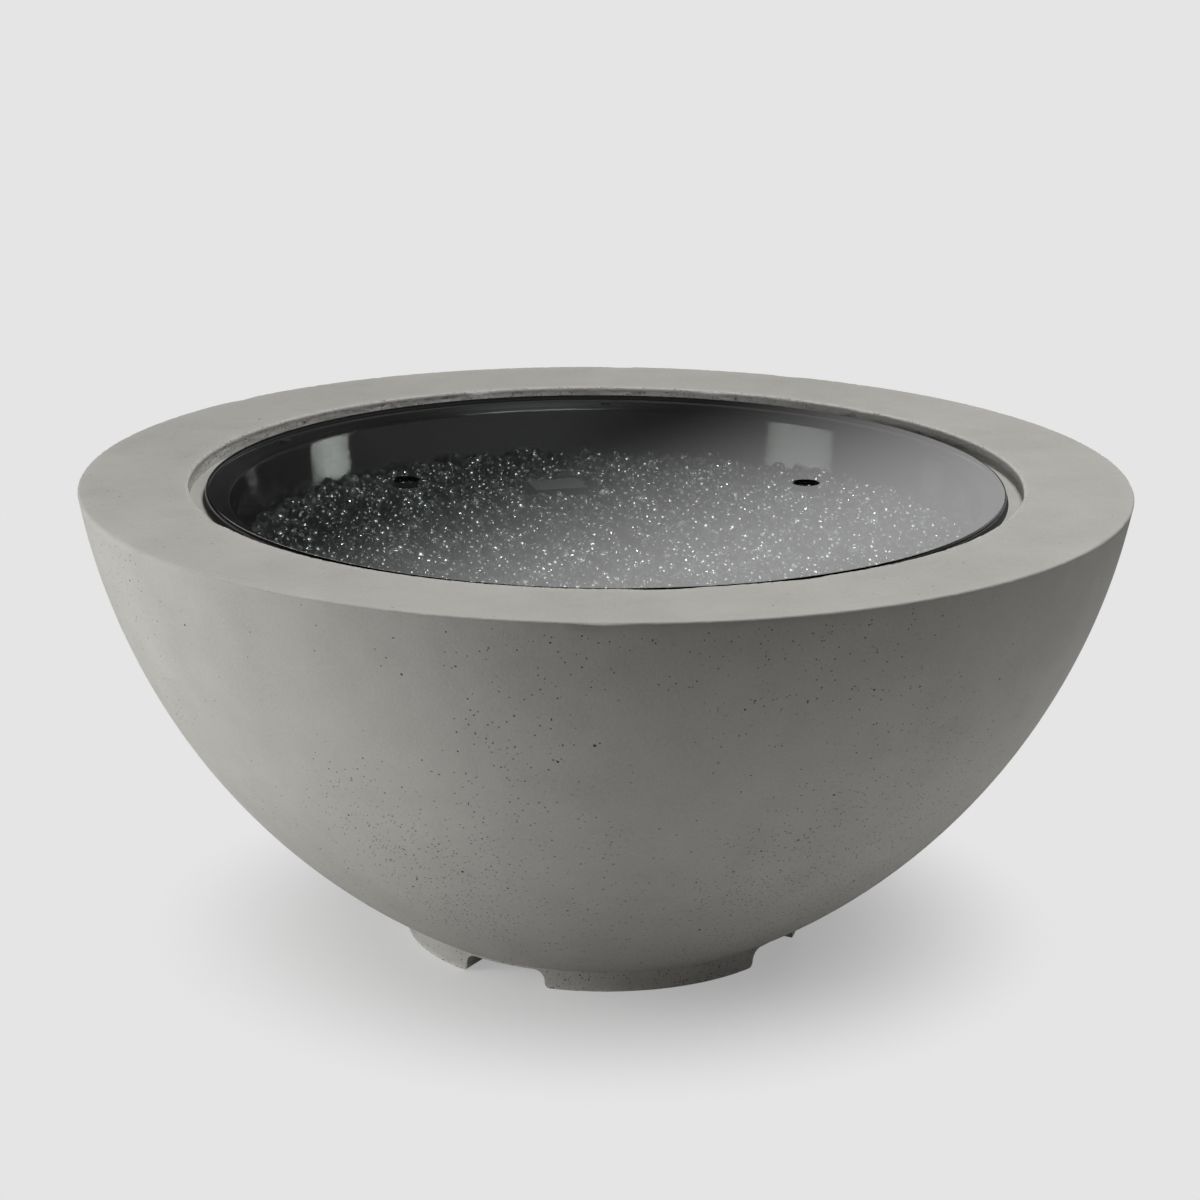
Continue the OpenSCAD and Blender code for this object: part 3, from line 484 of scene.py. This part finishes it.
def spun(name, outline, count, closed=True):  # an outline of (radius, height) turned about the axis
    verts = []
    faces = []
    around = [2 * math.pi * k / count for k in range(count)]
    for radius, height in outline:
        verts.extend((radius * math.cos(a), radius * math.sin(a), height) for a in around)
    rings = len(outline)
    for ring in range(rings if closed else rings - 1):
        here = ring * count
        above = (ring + 1) % rings * count
        for k in range(count):
            beside = (k + 1) % count
            faces.append((here + k, here + beside, above + beside, above + k))
    mesh = bpy.data.meshes.new(name)
    mesh.from_pydata(verts, [], faces)
    return mesh


def extruded(name, outline, low, high):  # an outline in X and Y, from one height to another
    shape = bmesh.new()
    base = shape.faces.new([shape.verts.new((x, y, low)) for x, y in outline])
    grown = bmesh.ops.extrude_face_region(shape, geom=[base])["geom"]
    tops = [item for item in grown if isinstance(item, bmesh.types.BMVert)]
    bmesh.ops.translate(shape, verts=tops, vec=(0, 0, high - low))
    bmesh.ops.recalc_face_normals(shape, faces=shape.faces)
    mesh = bpy.data.meshes.new(name)
    shape.to_mesh(mesh)
    shape.free()
    return mesh


def cutAway(target, tool):  # uses the tool up
    step = target.modifiers.new("step", "BOOLEAN")
    step.operation = "DIFFERENCE"
    step.solver = "MANIFOLD"
    step.object = tool
    graph = bpy.context.evaluated_depsgraph_get()
    mesh = bpy.data.meshes.new_from_object(target.evaluated_get(graph))
    target.modifiers.clear()
    target.data = mesh
    bpy.data.objects.remove(tool)


def arc(centre, radius, start, stop, steps):  # points of an arc, in degrees
    angles = [math.radians(start + (stop - start) * k / steps) for k in range(steps + 1)]
    return [(centre[0] + radius * math.cos(a), centre[1] + radius * math.sin(a)) for a in angles]


def spread(first, last, steps):  # points from first up to but without last
    return [tuple(a + (b - a) * k / steps for a, b in zip(first, last)) for k in range(steps)]


def roundRect(width, height, radius, steps=6):
    outline = []
    for x, y, start in ((1, 1, 0), (-1, 1, 90), (-1, -1, 180), (1, -1, 270)):
        centre = (x * (width / 2 - radius), y * (height / 2 - radius))
        outline.extend(arc(centre, radius, start, start + 90, steps))
    return outline


# concrete bowl

bowl = {
    "rimRadius": 0.5331,
    "sideCurve": 0.650,      # radius of the outside, from foot to rim
    "wall": 0.028,
    "floor": 0.036,
    "rimRound": 0.0022,
    "mouthRadius": 0.4225,
    "throatRadius": 0.388,
    "lip": 0.030,
    "lipSlope": 0.045,
    "serviceRadius": 0.075,
    "footRadius": 0.205,
    "footWidth": 0.055,
    "footHeight": 0.022,
    "footLean": 0.002,
    "footArris": 0.001,
    "gaps": 4,
    "gapWidth": 0.091,
    "gapHeight": 0.020,
    "gapRound": 0.011,
    "gapTurn": 45,           # degrees from the back to the first gap
    "footCorner": 0.006,
    "turns": 900,            # faces round the bowl
    "sideSteps": 52,
    "hollowTurns": 180,
    "hollowSteps": 16,
    "sharp": 38,             # degrees from which an edge stays sharp
}
panSheet = 0.002
ledgeHeight = panHigh.z - panSheet
cavityFloor = bowl["footHeight"] + bowl["floor"]
overlap = 0.004              # how far a cut goes past a face
niche = {
    "gap": 0.001,            # round the panel
    "round": 0.009,
    "land": 0.025,           # that the panel lies on
    "landWidth": 0.012,
    "block": 0.020,          # of concrete left round the niche, inside
    "blockRound": 0.004,
}


def sideCentre():
    foot = Vector((bowl["footRadius"] + bowl["footLean"], bowl["footHeight"]))
    rim = Vector((bowl["rimRadius"], bowlTop))
    along = (rim - foot).normalized()
    reach = math.sqrt(bowl["sideCurve"] ** 2 - ((rim - foot).length / 2) ** 2)
    return (rim + foot) / 2 + reach * Vector((-along.y, along.x))


sideMid = sideCentre()


def sideRadius(height, inset=0.0):
    return sideMid.x + math.sqrt((bowl["sideCurve"] - inset) ** 2 - (height - sideMid.y) ** 2)


def bowlOutline():  # from the foot's inside, under, up the side, over the rim and down the mouth
    b = bowl
    foot, footTop, arris = b["footRadius"], b["footHeight"], b["footArris"]
    inside = foot - b["footWidth"]
    outline = [(b["serviceRadius"], footTop), (inside, footTop), (inside, arris), (inside + arris, 0.0)]
    outline += spread((inside + 4 * arris, 0.0), (foot - arris, 0.0), 4)
    outline += [(foot - arris, 0.0), (foot, arris)]
    outline += spread((foot, 2 * arris), (foot + b["footLean"], footTop), 4)
    edge = b["rimRound"]
    sideTop = bowlTop - edge
    for k in range(b["sideSteps"] + 1):
        share = k / b["sideSteps"]
        height = footTop + (sideTop - footTop) * share
        outline.append((sideRadius(height), height))
    mouth, throat = b["mouthRadius"], b["throatRadius"]
    outline += arc((sideRadius(sideTop) - edge, sideTop), edge, 15, 90, 4)
    outline += spread((b["rimRadius"] - 2 * edge, bowlTop), (mouth + 2 * edge, bowlTop), 8)
    outline += [(mouth + 2 * edge, bowlTop)]
    outline += arc((mouth + edge, bowlTop - edge), edge, 90, 180, 4)
    outline += spread((mouth, bowlTop - edge - 0.0015), (mouth, ledgeHeight), 6)
    outline += spread((mouth, ledgeHeight), (throat, ledgeHeight), 5)
    lipUnder = ledgeHeight - b["lip"] - overlap
    return outline + [(throat, ledgeHeight), (throat, lipUnder), (b["serviceRadius"], lipUnder)]


def cavityOutline():
    b = bowl
    lipUnder = ledgeHeight - b["lip"]
    slope = lipUnder - b["lipSlope"]
    core = b["serviceRadius"] - 0.005
    outline = [(core, cavityFloor)]
    for k in range(b["hollowSteps"] + 1):
        height = cavityFloor + (slope - cavityFloor) * k / b["hollowSteps"]
        outline.append((sideRadius(height, b["wall"]), height))
    throat = b["throatRadius"]
    free = throat - 0.001
    above = bowlTop + 0.02
    return outline + [(throat, lipUnder), (free, lipUnder), (free, above), (core, above)]


def footGapOutline():  # an arch with round upper corners and feet that round into it
    half = bowl["gapWidth"] / 2
    top = bowl["gapHeight"]
    corner = bowl["footCorner"]
    arch = bowl["gapRound"]
    right = [(half + corner, -0.01)] + arc((half + corner, corner), corner, -90, -180, 5)
    right += arc((half - arch, top - arch), arch, 0, 90, 6)
    return right + [(-x, y) for x, y in reversed(right)]


def towardBack(mesh, across, up, start):  # turns X, Y, Z into across, up and out of the back
    mesh.transform(Matrix(((1, 0, 0, across), (0, 0, 1, start), (0, 1, 0, up), (0, 0, 0, 1))))
    mesh.flip_normals()
    return mesh


wear = {
    "reach": 0.007,          # how far from an edge it wears
    "mouthLess": 1.3,        # by how much less on the edge of the mouth
    "chipDepth": 0.0045,
    "chipScale": 16,
    "chipFrom": 0.28,        # the noise above which an edge has chipped
    "chipGain": 1.6,
    "chipSlant": 0.7,        # how far back and down a chip goes, to its depth
    "footSlant": 0.5,        # and up, on the foot
    "crumbScale": 150,
    "crumbs": 0.2,
    "edgeWearAndHighlight": 0.4,         # how much lighter an edge is painted where it has not chipped, as wear and as a painted highlight line
    "ledgeRough": 0.0016,
    "ledgeScale": 110,
    "waves": (5, 5, 7),      # of the slightly uneven side, to a metre
    "waveDepth": 0.0005,
    "gapShadeTurn": 74.0,        # degrees, the side of the ledge that gets painted shade, for the gap under the cover
    "gapShadeFrom": 0.27,
    "gapShadeFade": 0.18,
}
gapShadeTurn = math.radians(wear["gapShadeTurn"])
gapShadeWay = Vector((math.cos(gapShadeTurn), math.sin(gapShadeTurn), 0))
hair = 0.0005                # for telling on which face a point lies


def wornEdges(mesh):  # chips on the edges, which are also painted lighter as wear and as a painted highlight; a rough ledge with painted shade on one side; painted light on the mouth's wall; and a slightly uneven side
    b = bowl
    w = wear
    mouth = b["mouthRadius"]
    edgeWearAndLight = []
    poresAndLight = []
    gapShade = []
    for vert in mesh.vertices:
        x, y, z = vert.co
        radius = math.hypot(x, y)
        out = Vector((x, y, 0)) / max(radius, 0.001)
        chip = 0.0
        poreAndLight = 0.0
        rimGap = math.hypot(radius - b["rimRadius"], z - bowlTop)
        mouthGap = math.hypot(radius - mouth, z - bowlTop)
        footGap = math.hypot(radius - b["footRadius"], z)
        near = max(0.0, 1 - min(rimGap, mouthGap * w["mouthLess"], footGap) / w["reach"])
        if near > 0:
            scale = w["chipScale"]
            coarse = noise.noise(Vector((x * scale, y * scale, z * scale + 3)))
            fine = noise.fractal(Vector((x, y, z)) * w["crumbScale"], 0.8, 2.2, 3)
            chipped = max(0.0, coarse - w["chipFrom"]) * w["chipGain"]
            chip = min(near * (chipped + w["crumbs"] * max(0.0, fine)), 1.0)
            # the mouth's edge: porous, and painted lighter as painted light
            poreAndLight = near if mouthGap < rimGap else 0.0
            inward = 1 if mouthGap < rimGap else -1
            low = w["footSlant"] if footGap < bowlTop / 2 else -w["chipSlant"]
            vert.co += (out * w["chipSlant"] * inward + Vector((0, 0, low))) * chip * w["chipDepth"]
        elif mouth - hair < radius < mouth + hair and z > ledgeHeight + hair:
            # the mouth's wall: rough, porous, and painted lighter as painted light
            rough = noise.fractal(Vector((x, y, z * 1.5)) * w["ledgeScale"], 0.9, 2.1, 4)
            poreAndLight = 1.0
            vert.co += out * min(1.0, abs(rough)) * w["ledgeRough"]
        elif z > b["footHeight"] + 0.002 and radius > sideRadius(z) - 0.0004:
            along, across, up = w["waves"]
            wave = noise.noise(Vector((x * along, y * across, z * up)))
            vert.co -= out * w["waveDepth"] * (0.5 + 0.5 * wave)
        # edges that have not chipped are painted lighter too: wear, and a painted highlight line
        edgeWearAndLight.append(max(chip, w["edgeWearAndHighlight"] * near))
        poresAndLight.append(poreAndLight)
        # painted shade: the ledge in the gap under the cover is painted darker on one side
        onLedge = radius < mouth + 2 * hair and ledgeHeight - 0.004 < z < ledgeHeight + hair
        drift = out.dot(gapShadeWay) - w["gapShadeFrom"]
        gapShade.append(min(1.0, max(0.0, drift / w["gapShadeFade"])) if onLedge else 0.0)
    markMesh(mesh, "chipped", edgeWearAndLight)
    markMesh(mesh, "porousAndLit", poresAndLight)
    markMesh(mesh, "gapShadeMask", gapShade)


def makeBowl():
    cast = looseObject("bowlCasting", spun("bowlCasting", bowlOutline(), bowl["turns"]))
    hollow = looseObject("hollow", spun("hollow", cavityOutline(), bowl["hollowTurns"]))
    middle = (panelLow + panelHigh) / 2
    wide = panelHigh.x - panelLow.x
    tall = panelHigh.z - panelLow.z

    def nicheCut(name, grow, radius, start, depth, steps=6):  # a rounded block round the panel's middle
        block = extruded(name, roundRect(wide + 2 * grow, tall + 2 * grow, radius, steps), 0, depth)
        return looseObject(name, towardBack(block, middle.x, middle.z, start))

    landBack = panelLow.y - niche["land"]
    deep = bowl["rimRadius"]
    cutAway(hollow, nicheCut("land", niche["block"], niche["blockRound"], landBack, deep, 2))
    cutAway(cast, hollow)
    for k in range(bowl["gaps"]):
        gap = towardBack(extruded("gap", footGapOutline(), 0.05, 0.30), 0, 0, 0)
        gap.transform(Matrix.Rotation(math.radians(bowl["gapTurn"] + 90 * k), 4, "Z"))
        cutAway(cast, looseObject("gap", gap))
    cutAway(cast, nicheCut("opening", niche["gap"], niche["round"], panelLow.y, deep))
    windowBack = landBack - overlap / 2
    through = niche["land"] + overlap
    cutAway(cast, nicheCut("window", -niche["landWidth"], niche["round"], windowBack, through))
    wornEdges(cast.data)
    mesh = smoothed(cast.data.copy(), bowl["sharp"])
    bpy.data.objects.remove(cast)
    addPiece("bowlCasting", mesh, "bowl", "concrete", ["concrete_bowl"])


makeBowl()
print("bowl cast")


# glass cover

cover = {
    "edge": 0.0026,
    "holeRadius": 0.013,
    "holeEdge": 0.0012,
    "holeReach": 0.2035,
    "rings": (0.06, 0.2),    # where its faces are divided
    "turns": 360,
    "holeTurns": 64,
    "sharp": 30,
}


def makeCover():
    radius = coverHigh.x
    low, high, edge = coverLow.z, coverHigh.z, cover["edge"]
    inner, outer = cover["rings"]
    flat = radius - edge - 0.0005
    outline = [(inner, low), (outer, low), (flat, low)]
    outline += arc((radius - edge, low + edge), edge, -90, 0, 6)
    outline += arc((radius - edge, high - edge), edge, 0, 90, 6)
    outline += [(flat, high), (outer, high), (inner, high)]
    rings = spun("coverGlass", outline, cover["turns"], closed=False)
    shape = bmesh.new()
    shape.from_mesh(rings)
    rims = [side for side in shape.edges if side.is_boundary]
    bmesh.ops.holes_fill(shape, edges=rims, sides=0)
    bmesh.ops.recalc_face_normals(shape, faces=shape.faces)
    shape.to_mesh(rings)
    shape.free()
    glass = looseObject("coverGlass", rings)
    past = 0.001
    hole, flare, core = cover["holeRadius"], cover["holeEdge"], 0.0005
    wide = hole + flare + past
    drill = [(core, low - past), (wide, low - past), (hole, low + flare)]
    drill += [(hole, high - flare), (wide, high + past), (core, high + past)]
    for side in (-1, 1):
        tool = spun("drill", drill, cover["holeTurns"])
        tool.transform(Matrix.Translation(cameraRight * cover["holeReach"] * side))
        cutAway(glass, looseObject("drill", tool))
    mesh = smoothed(glass.data.copy(), cover["sharp"])
    bpy.data.objects.remove(glass)
    # faces that are not flat are painted near black: the glass's dark edge, and painted shade of the gap
    # under the cover
    ground = [1.0 if abs(face.normal.z) < 0.98 else 0.0 for face in mesh.polygons]
    markMesh(mesh, "ground", ground, "FACE")
    return addPiece("coverGlass", mesh, "cover", "cover_glass", ["glass_cover"])


coverPiece = makeCover()
print("cover cut")


# gems

gems = {
    "pitch": 0.0134,
    "stray": 0.3,            # share of the pitch that one may lie off its spot
    "small": 0.0056,
    "large": 0.0084,
    "long": 1.12,            # proportions of one, by its size
    "broad": (0.85, 1.05),
    "thick": (0.66, 0.92),
    "dents": 0.16,
    "wall": 0.003,           # clear of the pan's side and of the hood
    "panRadius": 0.372,      # inside the pan, low down, and how much it widens to the top
    "panWidens": 0.009,
    "panFoot": 0.012,        # height of the round corner at its floor, and of both corners
    "panCorners": 0.018,
    "hoodInset": 0.014,      # they lie over the ends of the hood
    "hoodHalf": 0.021,       # half of its depth, which they keep off
    "rise": 0.002,
    "mound": 0.006,          # higher in the middle
    "moundRadius": 0.38,
    "ripple": 0.004,
    "rippleScale": 9,
    "extra": 900,            # loose ones on top
    "lift": (0.004, 0.008),
    "seed": 4,
}
rowShare = 0.866             # between rows, to the pitch


def pebble():  # a unit ball of 80 faces
    shape = bmesh.new()
    bmesh.ops.create_icosphere(shape, subdivisions=2, radius=1.0)
    shape.verts.ensure_lookup_table()
    points = [vert.co.copy() for vert in shape.verts]
    faces = [tuple(vert.index for vert in face.verts) for face in shape.faces]
    shape.free()
    return points, faces


def panInner(height):
    share = (height - panLow.z - gems["panFoot"]) / (panHigh.z - panLow.z - gems["panCorners"])
    return gems["panRadius"] + gems["panWidens"] * share


def gemSpots(luck):
    pan = panInner(bedTop) - gems["wall"]
    pitch, stray = gems["pitch"], gems["stray"]
    spots = []
    rows = int(pan / (pitch * rowShare)) + 1
    for row in range(-rows, rows + 1):
        for column in range(-rows, rows + 1):
            x = (column + 0.5 * (row % 2)) * pitch + luck.uniform(-stray, stray) * pitch
            y = row * pitch * rowShare + luck.uniform(-stray, stray) * pitch
            spots.append((x, y, 0))
    for k in range(gems["extra"]):
        reach = pan * math.sqrt(luck.random())
        angle = luck.uniform(0, 2 * math.pi)
        spots.append((reach * math.cos(angle), reach * math.sin(angle), 1))
    return spots


def makeGems():
    g = gems
    luck = random.Random(g["seed"])
    points, ballFaces = pebble()
    layers = {0: ([], [], []), 1: ([], [], [])}
    hoodMid = (hoodLow.y + hoodHigh.y) / 2
    for k, (x, y, layer) in enumerate(gemSpots(luck)):
        size = luck.uniform(g["small"], g["large"])
        room = size + g["wall"]
        reach = math.hypot(x, y)
        if reach + room > panInner(bedTop):
            continue
        if abs(x) <= hoodHigh.x - g["hoodInset"] + room and abs(y - hoodMid) <= g["hoodHalf"] + room:
            continue
        scale = g["rippleScale"]
        mound = g["mound"] * (1 - (reach / g["moundRadius"]) ** 2)
        mound += g["ripple"] * noise.noise(Vector((x * scale, y * scale, 2)))
        height = bedTop + g["rise"] + mound + layer * luck.uniform(*g["lift"])
        turned = Euler([luck.uniform(0, 6.283) for axis in range(3)]).to_matrix()
        shape = Vector((g["long"], luck.uniform(*g["broad"]), luck.uniform(*g["thick"]))) * size
        lot = luck.uniform(0, 100)
        # every tenth of the bed goes with the loose ones
        verts, faces, lots = layers[0 if layer == 0 and k % 10 else 1]
        start = len(verts)
        for point in points:
            dent = 1 + g["dents"] * noise.noise(point * 1.3 + Vector((lot, lot * 0.7, 0)))
            local = Vector((point.x * shape.x, point.y * shape.y, point.z * shape.z)) * dent
            verts.append(turned @ local + Vector((x, y, height)))
        faces.extend(tuple(start + index for index in face) for face in ballFaces)
        lots.extend([lot / 100] * len(points))
    for layer, name, clear in ((0, "gemBedTop", "softGem"), (1, "gemsLoose", "brightGem")):
        mesh = bpy.data.meshes.new(name)
        verts, faces, lots = layers[layer]
        mesh.from_pydata(verts, [], faces)
        mesh.shade_smooth()
        markMesh(mesh, "lot", lots)
        stands = ["top_gems"] if layer == 0 else []
        addPiece(name, mesh, "bowl", "fire_glass", stands, clearGem(clear))
        print("{}: {} gems".format(name, len(mesh.vertices) // len(points)))


makeGems()


# studio

studio = {
    "ground": 0.783,         # what the camera sees behind the bowl
    "fill": 0.03,            # even light from all round
    "ceiling": 0.02,         # what glass and metal see of the dark room above
    "panel": 0.70,           # and of the pale screen at the back on the right
    "panelEdge": (0.0, 0.17),
    "panelSlant": 3.0,
    "panelLevel": 0.2267,    # height at which its edge is in the middle
    "panelTop": (0.36, 0.60),
    "horizon": 0.03,
    "floorRings": (0.01, 1.0, 12.0),
    "nearPaint": 0.88,       # of the floor, near the bowl and farther off
    "farPaint": 0.4,
    "paintFade": (0.6, 1.3),
    "shadowShare": 0.55,     # of the paint that the camera sees close to the bowl
    "shadowFade": (0.2, 0.5),
}
# degrees to the camera's right, distance and height; the height aimed at; width and height; watts
lamps = {
    "keyBox": ((-71, 1.85, 0.56), 0.35, (0.9, 1.3), 19.8),
    "topBox": ((75, 0.6, 3.2), 0.35, (1.2, 1.2), 76.0),
    "lowBox": ((58, 1.0, 0.05), 0.3, (1.0, 0.08), 0.42),
    "lowLeftBox": ((-42, 1.0, 0.05), 0.3, (1.0, 0.08), 0.6),
    "sideBox": ((104, 2.8, 0.8), 0.35, (0.9, 0.25), 26.0),
    "glintBox": ((108, 2.6, 2.0), 0.35, (1.0, 0.1), 4.0),
}


def around(angle, distance, height):  # a place round the bowl
    a = math.radians(angle)
    return (towardCamera * math.cos(a) + cameraRight * math.sin(a)) * distance + Vector((0, 0, height))


def lightStudio():
    bare = bpy.data.collections.new("noLampMirror")  # the cover mirrors the room, but not the lamps
    bare.objects.link(coverPiece)
    bare.collection_objects[0].light_linking.link_state = "EXCLUDE"
    for name, (spot, aim, size, power) in lamps.items():
        data = bpy.data.lights.new(name, "AREA")
        data.shape = "ELLIPSE"
        data.size, data.size_y = size
        data.energy = power
        lamp = bpy.data.objects.new(name, data)
        lamp.location = around(*spot)
        lamp.rotation_euler = (Vector((0, 0, aim)) - lamp.location).to_track_quat("-Z", "Y").to_euler()
        lamp.visible_camera = False
        lamp.visible_diffuse = name != "sideBox"  # that one is a glint on the steel alone
        scene.collection.objects.link(lamp)
        lamp.light_linking.receiver_collection = bare


def paleWorld():
    s = studio
    world = bpy.data.worlds.new("paleWorld")
    scene.world = world
    f = Finish("paleWorld", world)
    path = f.node("ShaderNodeLightPath")
    way = f.node("ShaderNodeTexCoord")["Generated"]
    sideways = {0: way, 1: cameraRight}
    aside = f.node("ShaderNodeVectorMath", {"operation": "DOT_PRODUCT"}, sideways)["Value"]
    high = f.heightOf(way)
    slanted = aside + s["panelSlant"] * (high - s["panelLevel"])
    screen = f.ramp(slanted, *s["panelEdge"]) * (1 - f.ramp(high, *s["panelTop"]))
    room = s["ceiling"] + screen * (s["panel"] - s["ceiling"])
    horizon = 1 - f.ramp(high, 0.0, s["horizon"])
    mirrored = room + horizon * (s["ground"] - room)
    through = f.larger(path["Is Glossy Ray"], path["Is Transmission Ray"])
    level = s["fill"] + through * (mirrored - s["fill"])
    level = level + path["Is Camera Ray"] * (s["ground"] - level)
    sockets = {"Color": (1, 1, 1, 1), "Strength": level}
    light = f.node("ShaderNodeBackground", None, sockets)["Background"]
    f.node("ShaderNodeOutputWorld", None, {"Surface": light})


def paleFloor():
    s = studio
    f = Finish("paleFloor")
    reach = f.lengthOf(f.place())
    path = f.node("ShaderNodeLightPath")
    seen = path["Is Camera Ray"] + path["Is Glossy Ray"] + path["Is Transmission Ray"]
    far = (1 - s["shadowShare"] + s["shadowShare"] * f.ramp(reach, *s["shadowFade"])) * seen
    near, dim, ground = [(s[key], s[key], s[key], 1) for key in ("nearPaint", "farPaint", "ground")]
    colour = f.mixed(f.ramp(reach, *s["paintFade"]), near, dim)
    paint = f.skin({"Base Color": colour, "Roughness": 0.9, "Specular IOR Level": 0.0})
    glow = f.node("ShaderNodeEmission", None, {"Color": ground, "Strength": 1.0})["Emission"]
    mesh = spun("floor", [(radius, 0.0) for radius in s["floorRings"]], 64, closed=False)
    mesh.materials.append(f.done(f.blended(far, paint, glow)))
    looseObject("floor", mesh)


lightStudio()
paleWorld()
paleFloor()
scene.view_settings.view_transform = "Standard"
print("studio lit")
